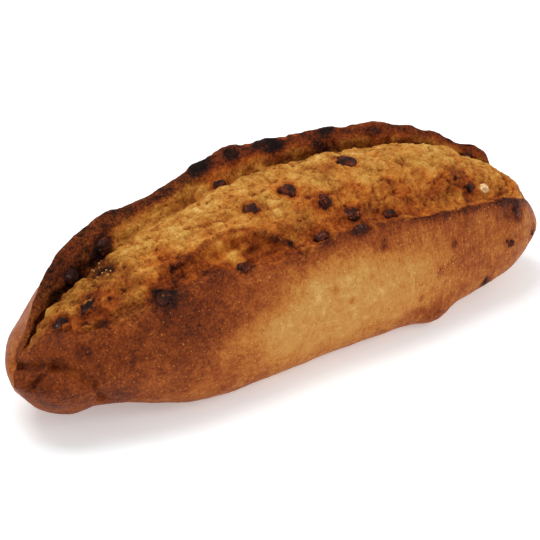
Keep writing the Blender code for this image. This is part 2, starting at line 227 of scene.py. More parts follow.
def section_rails(stations):
    """The named points that each section passes through, as an array (station, rail, yz)."""
    opening = along(stations, OPENING)
    lip = along(stations, LIP_ANGLE)
    groove = along(stations, GROOVE_ANGLE)
    crest = along(stations, CREST_ANGLE)
    lift = MM * along(stations, EAR_LIFT)
    foot = along(stations, FOOT_SHARE)

    level = 0 * stations
    between = groove - lip

    def scored(rail, open_angle, open_lift):
        angle = CLOSED_ANGLE[rail] + (open_angle - CLOSED_ANGLE[rail]) * opening
        return dome(stations, angle, open_lift * opening)

    rails = {
        "keel": underside(stations, 0, 0),
        "near_foot": underside(stations, -foot, 0),
        "near_heel": underside(stations, -foot - HEEL_OUT, HEEL_UP),
        "near_waist": underside(stations, -1, 1),
        "near_shoulder": dome(stations, NEAR_SHOULDER + level, level),
        "near_lip": scored("near_lip", lip, MM * along(stations, LIP_LIFT)),
        "valley": scored("valley", lip + VALLEY_TURN, -MM * along(stations, VALLEY_DEPTH)),
        "crown_near": scored("crown_near", lip + CROWN_NEAR_SHARE * between, level),
        "crown": scored("crown", lip + CROWN_SHARE * between, level),
        "crown_far": scored("crown_far", groove + CROWN_FAR_TURN, level - CROWN_FAR_DIP),
        "groove": scored("groove", groove, -MM * along(stations, GROOVE_DEPTH)),
        "ear_inner": scored("ear_inner", groove + EAR_INNER_SHARE * (crest - groove), EAR_INNER_LIFT * lift),
        "ear_crest": scored("ear_crest", crest, lift),
        "ear_outer": scored("ear_outer", crest + EAR_OUTER_TURN, EAR_OUTER_LIFT * lift),
        "far_shoulder": dome(stations, FAR_SHOULDER + level, level),
        "far_waist": underside(stations, 1, 1),
        "far_heel": underside(stations, foot + HEEL_OUT, HEEL_UP),
        "far_foot": underside(stations, foot, 0),
    }
    return np.stack([rails[name] for name in RAILS], 1)


def rings(stations):
    """Closed sections through the rails, how crumbly each point is, and its place among the rails."""
    rails = section_rails(stations)
    counts = [count for count, crumbly in RAILS.values()]
    crumbly = [crumbly for count, crumbly in RAILS.values()]
    points, weights, places = [], [], []
    for rail, count in enumerate(counts):
        before, start, end, after = (rails[:, (rail + step) % len(counts)] for step in (-1, 0, 1, 2))
        lead, span, trail = (np.sqrt(np.linalg.norm(b - a, axis=1, keepdims=True)) + 1e-9
                             for a, b in ((before, start), (start, end), (end, after)))
        chord = (end - start) / span
        leave = ((start - before) / lead - (end - before) / (lead + span) + chord) * span
        arrive = (chord - (after - start) / (span + trail) + (after - end) / trail) * span
        if rail in (RAIL["keel"], RAIL["far_foot"]):
            leave = arrive = end - start
        for t in np.arange(count) / count:
            points.append(hermite(start, end, leave, arrive, t))
            weights.append(crumbly[rail] + (crumbly[(rail + 1) % len(counts)] - crumbly[rail]) * t)
            places.append(rail + t)
    yz = np.stack(points, 1)
    x = np.broadcast_to((stations * HALF_LENGTH)[:, None, None], yz.shape[:2] + (1,))
    return np.concatenate([x, yz], -1), np.array(weights), np.array(places)


def normals_of(grid):
    """Outward normals of a grid of rings."""
    round_step = np.roll(grid, -1, 1) - np.roll(grid, 1, 1)
    long_step = np.gradient(grid, axis=0)
    normal = np.cross(long_step, round_step)
    return normal / np.maximum(np.linalg.norm(normal, axis=-1, keepdims=True), 1e-12)


def waviness(points, wavelength, seed, stretch=(1, 1, 1)):
    """Smooth noise of about one at every point, with bumps of the given wavelength."""
    spots = (points / (np.array(stretch) * wavelength)).reshape(-1, 3) + seed * np.array(NOISE_DRIFT)
    made = np.fromiter((noise.noise(spot) for spot in spots.tolist()), float, len(spots))
    return made.reshape(points.shape[:-1])


def roughness(points, rows):
    """Sum of noises, each given as height, wavelength in millimetres and seed."""
    return sum(height * waviness(points, wavelength * MM, seed) for height, wavelength, seed in rows)


def clefts(points, wavelength, seed):
    """Zero in the cracks between rounded clumps of the given size, and up to one on top of them."""
    spots = (points / wavelength).reshape(-1, 3) + seed
    made = np.fromiter((b - a for (a, b, *_), _ in map(noise.voronoi, spots.tolist())), float, len(spots))
    return np.clip(made, 0, 1).reshape(points.shape[:-1])


def distance_to_route(points, route):
    """Distance from each point to a broken line given in millimetres."""
    corners = MM * np.array(route, float)
    nearest = np.full(points.shape[:-1], np.inf)
    for start, end in zip(corners[:-1], corners[1:]):
        run = end - start
        share = np.clip((points - start) @ run / (run @ run), 0, 1)
        gap = np.linalg.norm(points - start - share[..., None] * run, axis=-1)
        nearest = np.minimum(nearest, gap)
    return nearest


def step(values, low, high):
    """Smooth step from nought at low to one at high, or the other way round."""
    t = np.clip((values - low) / (high - low), 0, 1)
    return t * t * (3 - 2 * t)


def bell(values, middle, width):
    """One in the middle, and fading to nothing on both sides of it."""
    return np.exp(-((values - middle) / width)**2)


def patch(points, centre, radius):
    """One at the centre, given in millimetres, and fading to nothing round it."""
    return bell(np.linalg.norm(points - MM * np.array(centre), axis=-1), 0, radius * MM)


def patches_of(points, rows):
    """Sum of soft round patches, each given as amount, radius and centre, the last two in millimetres."""
    return sum(amount * patch(points, centre, radius) for amount, radius, centre in rows)


def regions(measures, rows):
    """Sum of amounts, each times its steps: the measure's name, where it is nought, where it is one."""
    return sum(amount * math.prod(step(measures[name], low, high) for name, low, high in steps)
               for amount, *steps in rows)


def relief(points, crumbly):
    """The same dents, crags and swellings as the solid has."""
    height = roughness(points, DENTS) + crumbly * roughness(points, CRAGS)
    return MM * (height * np.clip(points[..., 2] / CRUST_FADE, 0, 1) + patches_of(points, SWELLINGS))


def fold_depth(points):
    """How deep the folds press into the crust at each point."""
    depths = (depth * bell(distance_to_route(points, route), 0, width * MM) for depth, width, route in FOLDS)
    return MM * sum(depths)


stations = even_stations(LOAF_STATIONS + 2)
grid, crumbly, place = rings(stations[1:-1])
calm_rim = step(stations[1:-1], *CALM_STATIONS)[:, None] * bell(place, RAIL["ear_crest"], CALM_WIDTH)
grid += normals_of(grid) * relief(grid, crumbly * (1 - CALM_SHARE * calm_rim))[..., None]
grid -= normals_of(grid) * fold_depth(grid)[..., None]
grid[..., 2] = np.maximum(grid[..., 2], 0)
low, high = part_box("loaf")
shift = np.array((0, (low.y + high.y - grid[..., 1].min() - grid[..., 1].max()) / 2, 0))
grid += shift

# What the solid is too coarse for: clumps, cracks and flakes of torn crumb, the ragged rim of the ear
# and its notch, the ridge over the torn band, and the crevice where the crumb drops under the ear.
# A place counts the rails: 5 is the near lip, 10 the groove and 12 the ear's crest.
# From which place the crumb shows, and up to which place the torn band by the lip reaches
TORN_FROM = (
    (-0.97, 8.5), (-0.86, 7.1), (-0.82, 6), (-0.78, 4.85), (-0.7, 4.7), (-0.58, 4.95),
    (-0.5, 5.7), (-0.41, 5.7), (-0.28, 4.95), (-0.17, 4.75), (0, 5), (1, 5.05),
)
BAND_TOP = ((-0.6, 7), (-0.47, 6.95), (-0.34, 6.75), (-0.18, 6.85), (-0.04, 6))
# How frayed the edge of the crumb is, and how far its frays and its broad waves reach
FRAYING = ((0.28,), (0.4, ("x", -20, -5), ("x", 55, 40)))
FRAYS = ((1, 3.2, 2.1),)
TEAR_WAVES = ((0.32, 9, 6.1),)
# How many rails its edge spreads over, before and after, and how many more at the near half
TORN_EDGE = ((-0.1, -0.3), (0.25, 0.45))
TORN_END = (12.1, 11.5)
NEAR_HALF = ((1, ("x", 0, -25)),)
# Where the crumb is, where it is pulled in strands, where the ear has its face, and where its rim is ragged
CRUMB_PLACES = ((1, ("place", 11.4, 10.4)),)
PULLED = ((1, ("x", 12, -18)),)
EAR_FACE = ((1, ("place", 10.45, 11.2), ("place", 12.6, 12)),)
RIM_WIDTH = 0.7
RAGGED = ((1, ("x", 48, 38), ("x", -30, -14)),)
# Where the crevice under the ear has a sharp edge
SHARP = ((1, ("x", 5, 25)), (1, ("x", -66, -78)))
# The torn band: rails beyond the edge of the crumb, rails to its top, and its stretch of the loaf
BAND_FOOT = (0.1, 0.5)
BAND_FADE = (0.05, -0.25)
BAND_STRETCH = ((1, ("x", -76, -62), ("x", -4, -16)),)
# The ridge of crumb over the torn band, in millimetres
TEAR_RIDGE = (
    (-59, -20.6, 60), (-45.7, -18.9, 62.3), (-35, -17.5, 64.2), (-25.9, -19.1, 64.9),
    (-17.5, -22.6, 62.6), (-12.7, -25.7, 58.7), (-7, -27.5, 56.2),
)
RIDGE_WAVES = ((0.8, 5, 4.1),)
RIDGE_WIDTH = 1.5
RIDGE_HEIGHT = 0.9
BAND_DEPTH = 1.1
# Crumb, in millimetres: clumps stand out, cracks and pits go in, and pulled crumb runs in strands
CLUMPS = ((1.2, 5.5, 2.0), (0.55, 2.7, 4.0))
CLUMP_LEVEL = 0.35
CRACK_BENDS = ((1.5, 6, 3.3),)
CRACK_CELLS = (9 * MM, 6.0)
CRACK_WIDTH = 0.07
CRACK_DEPTH = 0.9
CRACKED_AREAS = ((1, 14, 2.7),)
CRACKED = (-0.1, 0.25)
PITTED_AREAS = ((1, 2.6, 7.9),)
PITTED = (0.42, 0.6)
PIT_DEPTH = 0.6
STRANDS = (2.6 * MM, 6.5, (4.5, 1, 1))
STRAND_HEIGHT = 1.2
PULLED_FLAT = 0.75
CRUMB_GRAIN = ((0.4, 2.6, 5.5), (0.35, 1.4, 8.5))
FACE_GRAIN = ((0.35, 4, 4.4), (0.15, 1.6, 8.1))
RIM_GRAIN = ((0.8, 5.5, 9.5), (0.3, 2.2, 3.5))
CRUST_GRAIN = ((0.1, 1.8, 4.5), (0.3, 9, 3.7))
# Where the rim of the ear rises and drops at its far end, in millimetres: height, place along x, width
RIM_END = ((2.0, 115.5, 2), (-2.6, 109.5, 5))
# The crevice under the ear and the edge of crumb before it: height, place among the rails, width
CREVICE = ((-2.4, 10.2, 0.25), (0.9, 9.6, 0.35))
# Single knobs and hollows, in millimetres: height, radius, centre
KNOBS = (
    (-3.5, 3.5, (56, 16, 72)), (1.2, 5, (65, 15, 71)), (-1.4, 4, (-82, 0, 57.5)), (1.8, 9, (108, -29, 47)),
    (-1.3, 5.5, (-32.5, -23.7, 59.3)), (-1.2, 1.8, (-52, -19.5, 61.5)), (-1.6, 5, (8, -31, 56)),
)

x, z = grid[..., 0] / MM, grid[..., 2] / MM
measures = {"x": x, "z": z, "place": place}
opened, torn_from, band_top = (along(stations[1:-1], knots)[:, None]
                               for knots in (OPENING, TORN_FROM, BAND_TOP))
near_half = regions(measures, NEAR_HALF)
pull = regions(measures, PULLED)
sharp_edge = regions(measures, SHARP)

tear = place + roughness(grid, TEAR_WAVES) + regions(measures, FRAYING) * roughness(grid, FRAYS)
whole_crust, whole_crumb = (torn_from + rails + more * near_half for rails, more in TORN_EDGE)
torn = opened * step(tear, whole_crust, whole_crumb) * step(tear, *TORN_END)
crumb = torn * regions(measures, CRUMB_PLACES)
rim = opened * bell(place, RAIL["ear_crest"], RIM_WIDTH)
ear_face = opened * regions(measures, EAR_FACE)
band = opened * step(tear - torn_from, *BAND_FOOT) * step(place - band_top, *BAND_FADE)
band *= regions(measures, BAND_STRETCH)
ridge = bell(distance_to_route(grid, TEAR_RIDGE) / MM + roughness(grid, RIDGE_WAVES), 0, RIDGE_WIDTH)

lumps = sum(height * (clefts(grid, size * MM, seed) - CLUMP_LEVEL) for height, size, seed in CLUMPS)
bent = grid + MM * roughness(grid, CRACK_BENDS)[..., None]
cracks = np.exp(-clefts(bent, *CRACK_CELLS) / CRACK_WIDTH) * step(roughness(grid, CRACKED_AREAS), *CRACKED)
pits = step(roughness(grid, PITTED_AREAS), *PITTED)
strands = waviness(grid, *STRANDS)
fine = lumps * (1 - PULLED_FLAT * pull) + STRAND_HEIGHT * strands * pull
fine = crumb * (fine - CRACK_DEPTH * cracks - PIT_DEPTH * pits + roughness(grid, CRUMB_GRAIN))
fine += ear_face * roughness(grid, FACE_GRAIN)
fine += rim * regions(measures, RAGGED) * roughness(grid, RIM_GRAIN)
fine += rim * sum(height * bell(x, middle, width) for height, middle, width in RIM_END)
fine += opened * sharp_edge * sum(height * bell(place, middle, width) for height, middle, width in CREVICE)
fine += patches_of(grid, KNOBS) + RIDGE_HEIGHT * ridge - BAND_DEPTH * band
fine += (1 - torn) * roughness(grid, CRUST_GRAIN)

# The folds of the near tip are sharper at their bottom than the solid can be
CREASE_WIDTH = 1.3
CREASE_DEPTH = 1.1
tip_crease = np.zeros_like(x)
for *_, route in FOLDS[:2]:
    tip_crease = np.maximum(tip_crease, bell(distance_to_route(grid, route), 0, CREASE_WIDTH * MM))
fine -= CREASE_DEPTH * tip_crease**2

# Crumb creeps a little over the edges of the figs
CREEP = 0.05
CREEP_WAVES = ((0.7, 2.4, 1.3),)
CREEP_REACH = 1.7
fig_corners, fig_faces = [], []
for name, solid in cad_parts.items():
    if name.startswith("fig"):
        first = len(fig_corners)
        fig_faces += [[first + corner for corner in face.vertices] for face in solid.data.polygons]
        fig_corners += [vert.co.copy() for vert in solid.data.vertices]
fig_tree = BVHTree.FromPolygons(fig_corners, fig_faces)
spots = grid.reshape(-1, 3).tolist()
fig_gap = np.fromiter((fig_tree.find_nearest(spot)[3] for spot in spots), float, x.size)
fig_gap = fig_gap.reshape(x.shape) / MM
fine += (CREEP + roughness(grid, CREEP_WAVES)) * bell(fig_gap, 0, CREEP_REACH)
grid += normals_of(grid) * (MM * np.clip(z / CRUST_FADE, 0, 1) * fine)[..., None]
grid[..., 2] = np.maximum(grid[..., 2], 0)

# How dark each spot is, from nought for pale to one for burnt: mostly the oven's browning, with painted
# shade added in crevices, creases, pits and low on the flank, and painted light on clumps of crumb. Amounts
# over regions, then noises in millimetres, then marks, each as how much darker or paler it is, radius and
# centre
CRUST_BAKE = ((0.5,), (0.16, ("x", -22, -50)), (-0.08, ("x", 100, 118)), (0.03, ("x", -100, -118)))
FOOT_BAKE = ((-0.06, ("z", 22, 10)),)
# The pale patch is paler crust; its two lower rows darken it towards the foot as painted shade
PALE_BAKE_AND_SHADE = ((-0.34,), (0.06, ("z", 40, 24)), (0.16, ("z", 20, 6)))
LOW_GLOW = (
    (0.1, ("past_edge", -40, -4), ("x", 30, 0), ("z", 42, 30)),
    (0.09, ("z", 40, 26), ("x", -98, -78)),
)
LOW_GLOW_LIMIT = 0.13
LOW_GLOW_STRETCH = ((1, ("x", 60, 20)),)
LIP = (4.95, 0.35)
LIP_BAKE = ((0.24, ("x", -40, 10)),)
UNDER_LIP = (4.6, 0.35)
UNDER_LIP_BAKE = ((0.018, ("x", -30, 20)), (0.054, ("x", 45, 65)))
BACK = ((1, ("place", 11.4, 12.8)),)
BACK_BAKE = ((0.6,), (-0.1, ("x", -60, -110)), (-0.08, ("x", 90, 125)))
FAR_SHOULDER_BAKE = ((0.04, ("x", 85, 100), ("z", 25, 35)),)
CRUMB_BAKE = (
    (0.31,), (0.16, ("x", -62, -84)), (-0.07, ("x", 94, 108)),
    (0.04, ("place", 8, 6.3), ("x", 0, 30)), (-0.07, ("x", 45, 75), ("place", 7.5, 8.5)),
    (0.14, ("place", 7.1, 6.4), ("x", 15, -15), ("x", -80, -60)),
    (0.1, ("place", 7, 6)), (-0.07, ("place", 7, 6), ("x", 25, 50)),
)
# Painted shade darkens the pits and cracks of the crumb, and painted light makes its clumps and strands
# paler
HOLLOW_SHADE = 0.2
CLUMP_LIGHT = -0.12
CLUMP_MIDDLE = 0.1
RIDGE_BAKE = 0.24
# Painted shade at the foot of the crevice under the ear, darker where its edge is sharp
CREVICE_FOOT = (10.3, 0.4)
CREVICE_SHADE = 0.04
SHARP_CREVICE_SHADE = 0.26
# Painted shade in the creases of the near tip
CREASE_SHADE = 0.12
RIM_BAKE = 0.08
FIG_EDGE = 1.3
FIG_EDGE_BAKE = 0.14
FACE = ((1, ("place", 10.35, 11)),)
FACE_BAKE = (
    (0.71,), (-0.04, ("x", -60, -80)), (-0.3, ("place", 11.3, 10.6), ("x", -75, -60)),
    (0.16, ("place", 11.3, 10.6), ("x", -75, -60), ("x", 20, 40)),
)
EDGE_WAVES = ((7, 13, 7.1), (3, 5, 2.2))
CRUST_CLOUDS = ((0.06, 22, 2.5), (0.07, 7, 1.5))
CRUMB_CLOUDS = ((0.08, 13, 2.5), (0.11, 6, 1.5), (0.08, 3, 0.5))
BAND_CLOUDS = ((0.1, 4, 8.8),)
FACE_CLOUDS = ((0.07, 9, 5.1), (0.04, 2.5, 5.9))
# Dark marks: most are scorches of the oven, but those low by the foot at (43, -44, 9), under the knob at
# (-95, -30, 18) and in the seed crevice at (-82, -1, 58) are painted shade; the one on the foot bump at (59,
# -46, 10) is partly the foot's own darker crust and partly painted shade
DARK_MARK_WAVES = 3.0 * MM
DARK_MARK_FRAYING = 0.6
SCORCHES_AND_SHADE = (
    (0.35, 4, (-18, 22, 73)), (0.2, 3.5, (-13, 23, 74)), (0.35, 4, (0, 22, 74)), (0.42, 5, (20, 20, 72)),
    (0.25, 4, (14, 23, 74)), (0.35, 3, (48, 20, 72)), (0.28, 4, (41, 15, 68)), (0.22, 3, (47, 13, 66)),
    (0.1, 7, (-38, 20, 71)), (0.1, 10, (-88, 10, 60)), (0.12, 8, (-100, 4, 56)), (0.3, 5.5, (-69, -26, 54)),
    (0.2, 4, (-63, -25, 58)), (0.3, 4, (-32, -30, 55)), (0.16, 5, (-46, -26, 56)),
    (0.12, 4, (-106, -26, 40)), (0.14, 2.5, (-91, -35, 34)), (0.12, 2.5, (-103, -31, 34)),
    (0.3, 2.5, (-94, -22, 46)), (0.16, 5, (70, -30, 57)), (0.16, 3, (44, -14, 68)), (0.14, 3, (30, -6, 69)),
    (0.25, 2, (-26, -11, 68)), (0.16, 2, (-2, -16, 67)), (0.2, 3, (-7, -24, 62)), (0.12, 3, (4, -22, 63)),
    (0.3, 4, (82, -26, 57)), (0.35, 3, (86, -24, 56)), (0.15, 4, (98, -39, 40)), (0.25, 2, (68, -44, 38)),
    (0.35, 2.5, (86, -43, 13)), (0.22, 2.2, (32, -41, 48)), (0.2, 2, (38, -44, 39)),
    (0.2, 1.6, (23, -44, 38)), (0.25, 1.5, (12, -44, 30)), (0.18, 1.5, (5, -43, 37)),
    (0.22, 1.5, (48, -46, 19)), (0.22, 1.6, (58, -46, 29)), (0.14, 3, (-70, 10, 62)),
    (0.16, 3, (-78, 6, 59)), (0.22, 9, (59, -46, 10)), (0.12, 2.2, (-13, -26, 59)),
    (0.16, 2.2, (-7, -28, 56)), (0.4, 4.5, (-82, -1, 58)), (0.22, 3, (-80, -7, 59)),
    (0.22, 3, (-22, -25, 59)), (0.28, 1.8, (-52, -19.5, 61.5)), (0.22, 3, (-60, -21, 58.6)),
    (0.1, 12, (-68, -32, 46)), (0.12, 6, (-8, -35, 49.5)), (0.06, 6, (-11, -41, 41)),
    (0.05, 7, (33, -43.5, 41)), (0.1, 10, (43, -44, 9)), (0.08, 8, (-29, -42, 9)), (0.14, 5, (25, -28, 57)),
    (0.08, 6, (36, -31, 56)), (0.07, 6, (52, -32, 55)), (0.08, 4, (-31, -21, 63)),
    (0.12, 7, (-95, -30, 18)),
)
PALE_MARKS = (
    (0.12, 4, (57, -33, 55)), (0.16, 6, (50, 1, 69)), (0.08, 5, (52, -8, 69)),
    (0.34, 5.5, (-32.5, -23.7, 59.3)), (0.1, 4, (-14, -30, 60)), (0.1, 3, (-112, -24, 33)),
    (0.12, 6, (96, -41, 28)), (0.12, 5, (-51, -43, 26)), (0.1, 5, (30, 4, 70)), (0.3, 3.5, (-32, -26, 57)),
    (0.12, 8, (-41, -42, 33)), (0.1, 6, (-42, -22, 60)), (0.12, 4, (70, 15, 68)),
)
# The pale patch of the far flank: its near edge leans towards the near end below
PALE_EDGE = -6
PALE_EDGE_LEAN = 0.95
PALE_EDGE_TOP = 56
PALE_EDGE_FOOT = 22
# It ends where x + 0.8 z and z + 0.12 x pass these bounds
PALE_SLANT = 0.8
PALE_RISE = 0.12
PALE_PATCH = ((1, ("past_edge", -12, 14), ("slant", 105, 60), ("rise", 54, 41)),)

edge = PALE_EDGE - PALE_EDGE_LEAN * (PALE_EDGE_TOP - np.maximum(z, PALE_EDGE_FOOT))
measures["past_edge"] = x - edge + roughness(grid, EDGE_WAVES)
measures["slant"] = x + PALE_SLANT * z
measures["rise"] = z + PALE_RISE * x
pale = regions(measures, PALE_PATCH)
low_glow = np.minimum(regions(measures, LOW_GLOW), LOW_GLOW_LIMIT) * regions(measures, LOW_GLOW_STRETCH)
# Painted shade darkens the creases of the near tip and, through the pale patch's lower rows, the patch
# towards its foot
bake_and_shade = regions(measures, CRUST_BAKE) + pale * regions(measures, PALE_BAKE_AND_SHADE) + CREASE_SHADE * tip_crease
bake_and_shade += (1 - pale) * (regions(measures, FOOT_BAKE) - low_glow)
bake_and_shade += opened * bell(place, *LIP) * regions(measures, LIP_BAKE)
bake_and_shade += bell(place, *UNDER_LIP) * regions(measures, UNDER_LIP_BAKE)
bake_and_shade += (regions(measures, BACK_BAKE) - bake_and_shade) * regions(measures, BACK)
bake_and_shade += regions(measures, FAR_SHOULDER_BAKE) + roughness(grid, CRUST_CLOUDS)
crumb_bake_and_shade = regions(measures, CRUMB_BAKE) + roughness(grid, CRUMB_CLOUDS)
# Painted shade in the pits and cracks of the crumb, and painted light on the tops of its clumps and strands
stands_out = (lumps - CLUMP_MIDDLE) * (1 - pull) + strands * pull
crumb_bake_and_shade += crumb * (HOLLOW_SHADE * (pits + cracks) + CLUMP_LIGHT * stands_out)
crumb_bake_and_shade += RIDGE_BAKE * ridge + band * roughness(grid, BAND_CLOUDS)
face_bake = regions(measures, FACE_BAKE) + roughness(grid, FACE_CLOUDS)
crumb_bake_and_shade += (face_bake - crumb_bake_and_shade) * regions(measures, FACE)
# Painted shade at the foot of the crevice under the ear
crumb_bake_and_shade += bell(place, *CREVICE_FOOT) * (SHARP_CREVICE_SHADE * sharp_edge + CREVICE_SHADE)
bake_and_shade = bake_and_shade * (1 - torn) + crumb_bake_and_shade * torn + RIM_BAKE * rim
# Scorches of the oven, and the few marks of painted shade among them
for amount, radius, centre in SCORCHES_AND_SHADE:
    bake_and_shade += amount * patch(grid, centre, radius)**(1 + DARK_MARK_FRAYING * waviness(grid, DARK_MARK_WAVES, radius))
bake_and_shade += FIG_EDGE_BAKE * bell(fig_gap, 0, FIG_EDGE) - patches_of(grid, PALE_MARKS)

# How amber the crumb is, where syrup from the fruit and steam from the tear left it moist
CRUMB_AMBER = ((0.25,), (0.5, ("place", 8, 6.5)))
FACE_AMBER = ((0.3,), (0.8, ("x", -25, 0)))
AMBER_CLOUDS = ((0.5, 11, 4.7), (0.4, 4, 9.2))
DRY_SPOTS = ((0.7, 4, (-32, -26, 57)),)
BAND_AMBER = 0.7
CRACK_AMBER = 0.3
FIG_AMBER = 0.4
FIG_SYRUP_REACH = 2.5
amber = regions(measures, CRUMB_AMBER) + roughness(grid, AMBER_CLOUDS)
amber += ear_face * regions(measures, FACE_AMBER)
amber += BAND_AMBER * band + CRACK_AMBER * cracks + FIG_AMBER * bell(fig_gap, 0, FIG_SYRUP_REACH)
amber -= patches_of(grid, DRY_SPOTS)


def placed(name, data):
    """A new object made of the data, in the scene."""
    made = bpy.data.objects.new(name, data)
    bpy.context.collection.objects.link(made)
    return made


def loaf_piece(name, grid, stations, marks):
    """Closes the rings into one skin with a tip at each end, and stores what the finish needs to know."""
    tips = rings(stations[[0, -1]])[0].mean(1) + shift
    count, spots = grid.shape[:2]
    vertices = np.concatenate([grid.reshape(-1, 3), tips])
    faces = []
    for ring in range(0, (count - 1) * spots, spots):
        for spot in range(spots):
            after = (spot + 1) % spots
            faces.append((ring + spot, ring + after, ring + spots + after, ring + spots + spot))
    for ring, tip, turn in ((0, count * spots, -1), ((count - 1) * spots, count * spots + 1, 1)):
        for spot in range(spots):
            faces.append((ring + spot, ring + (spot + 1) % spots, tip)[::turn])
    mesh = bpy.data.meshes.new(name)
    mesh.from_pydata(vertices.tolist(), [], faces)
    made = bmesh.new()
    made.from_mesh(mesh)
    bmesh.ops.recalc_face_normals(made, faces=made.faces[:])
    made.to_mesh(mesh)
    made.free()
    for label, values in marks.items():
        layer = mesh.attributes.new(label, "FLOAT", "POINT")
        shares = [np.clip(values, 0, 1).ravel(), [values[0].mean(), values[-1].mean()]]
        layer.data.foreach_set("value", np.concatenate(shares).astype(np.float32))
    mesh.shade_smooth()
    return placed(name, mesh)


loaf = loaf_piece("loaf_skin", grid, stations, {"bake_and_shade": bake_and_shade, "torn": torn, "amber": amber})


def new_material(name):
    made = bpy.data.materials.new(name)
    made.use_nodes = True
    tree = made.node_tree
    return made, tree, tree.nodes["Principled BSDF"]


def srgb(red, green, blue):
    """Linear colour of a tone given as it looks on screen, from 0 to 255."""
    tones = (tone / 255 for tone in (red, green, blue))
    return tuple(((tone + 0.055) / 1.055)**2.4 if tone > 0.04045 else tone / 12.92 for tone in tones) + (1,)


def fill(tree, made, inputs):
    """Sets or links a node's inputs by name or number."""
    for key, value in inputs.items():
        if isinstance(value, bpy.types.NodeSocket):
            tree.links.new(value, made.inputs[key])
        else:
            made.inputs[key].default_value = value


def node(tree, kind, inputs=(), **settings):
    """Adds one shader node, sets its properties and fills its inputs."""
    made = tree.nodes.new(kind)
    for key, value in settings.items():
        setattr(made, key, value)
    fill(tree, made, dict(inputs))
    return made


def maths(tree, operation, a, b=0.0):
    return node(tree, "ShaderNodeMath", {0: a, 1: b}, operation=operation).outputs[0]


def total(tree, *parts):
    """Sum of the values, each of them one value or a pair of a value and how much of it counts."""
    result = 0.0
    for part in parts:
        value, share = part if isinstance(part, tuple) else (part, 1.0)
        terms = {0: value, 1: share, 2: result}
        result = node(tree, "ShaderNodeMath", terms, operation="MULTIPLY_ADD").outputs[0]
    return result


def mapped(tree, value, start=0.0, end=1.0, low=0.0, high=1.0):
    """The value moved from start and end to low and high, and kept between them."""
    limits = {"From Min": start, "From Max": end, "To Min": low, "To Max": high}
    return node(tree, "ShaderNodeMapRange", {"Value": value, **limits}).outputs[0]


def ramp(tree, factor, stages, tones):
    """Blends from tone to tone as the factor passes the stages."""
    made = node(tree, "ShaderNodeValToRGB", {0: factor})
    elements = made.color_ramp.elements
    for number, (stage, tone) in enumerate(zip(stages, tones)):
        element = elements[number] if number < 2 else elements.new(stage)
        element.position = stage
        element.color = srgb(*tone)
    return made.outputs["Color"]


def blended(tree, share, first, second):
    return node(tree, "ShaderNodeMix", {0: share, 6: first, 7: second}, data_type="RGBA").outputs[2]


def bumps(tree, height, strength, distance):
    """Normals of a surface that is roughened by the height, without moving it."""
    inputs = {"Height": height, "Strength": strength, "Distance": distance}
    return node(tree, "ShaderNodeBump", inputs).outputs[0]


def spot_in(tree):
    """The spot on the piece, and its place along the loaf."""
    position = node(tree, "ShaderNodeTexCoord").outputs["Object"]
    return position, node(tree, "ShaderNodeSeparateXYZ", {0: position}).outputs["X"]


def effect(name, inputs, outputs):
    """A node group with the named inputs and outputs: its tree, what comes in, and where it goes out."""
    made = bpy.data.node_groups.new(name, "ShaderNodeTree")
    for label, kind in inputs.items():
        made.interface.new_socket(label, in_out="INPUT", socket_type=kind)
    for label in outputs:
        made.interface.new_socket(label, in_out="OUTPUT", socket_type="NodeSocketFloat")
    return made, made.nodes.new("NodeGroupInput").outputs, made.nodes.new("NodeGroupOutput").inputs


# Grain of baked dough and dried fruit: soft patches and fine specks, both about nought
grain_effect, given, result = effect(
    "baked_grain",
    {"Position": "NodeSocketVector", "Patch Scale": "NodeSocketFloat", "Speck Scale": "NodeSocketFloat"},
    ("Patches", "Specks"))
for label, scale, detail in (("Patches", "Patch Scale", 5), ("Specks", "Speck Scale", 2)):
    cloud = node(grain_effect, "ShaderNodeTexNoise",
                 {"Vector": given["Position"], "Scale": given[scale], "Detail": detail, "Roughness": 0.6})
    grain_effect.links.new(maths(grain_effect, "SUBTRACT", cloud.outputs["Fac"], 0.5), result[label])

# Round dots in random places: blisters, pits and seeds. Size is a dot's radius as a share of its cell
DOT_CORE = 0.4
DOT_FADE = 0.08
dots_effect, given, result = effect(
    "scattered_dots",
    {"Position": "NodeSocketVector", "Scale": "NodeSocketFloat", "Size": "NodeSocketFloat",
     "Share": "NodeSocketFloat"},
    ("Dots",))
cells = node(dots_effect, "ShaderNodeTexVoronoi", {"Vector": given["Position"], "Scale": given["Scale"]})
core = maths(dots_effect, "MULTIPLY", given["Size"], DOT_CORE)
dot = mapped(dots_effect, cells.outputs["Distance"], given["Size"], core)
pick = node(dots_effect, "ShaderNodeSeparateColor", {0: cells.outputs["Color"]}).outputs[0]
fewest = maths(dots_effect, "SUBTRACT", 1.0, given["Share"])
kept = mapped(dots_effect, pick, fewest, maths(dots_effect, "ADD", fewest, DOT_FADE))
dots_effect.links.new(maths(dots_effect, "MULTIPLY", dot, kept), result["Dots"])


def grain_of(tree, position, patch_scale, speck_scale):
    made = node(tree, "ShaderNodeGroup", node_tree=grain_effect)
    fill(tree, made, {"Position": position, "Patch Scale": patch_scale, "Speck Scale": speck_scale})
    return made.outputs["Patches"], made.outputs["Specks"]


def dots_of(tree, position, scale, size, share):
    made = node(tree, "ShaderNodeGroup", node_tree=dots_effect)
    fill(tree, made, {"Position": position, "Scale": scale, "Size": size, "Share": share})
    return made.outputs["Dots"]


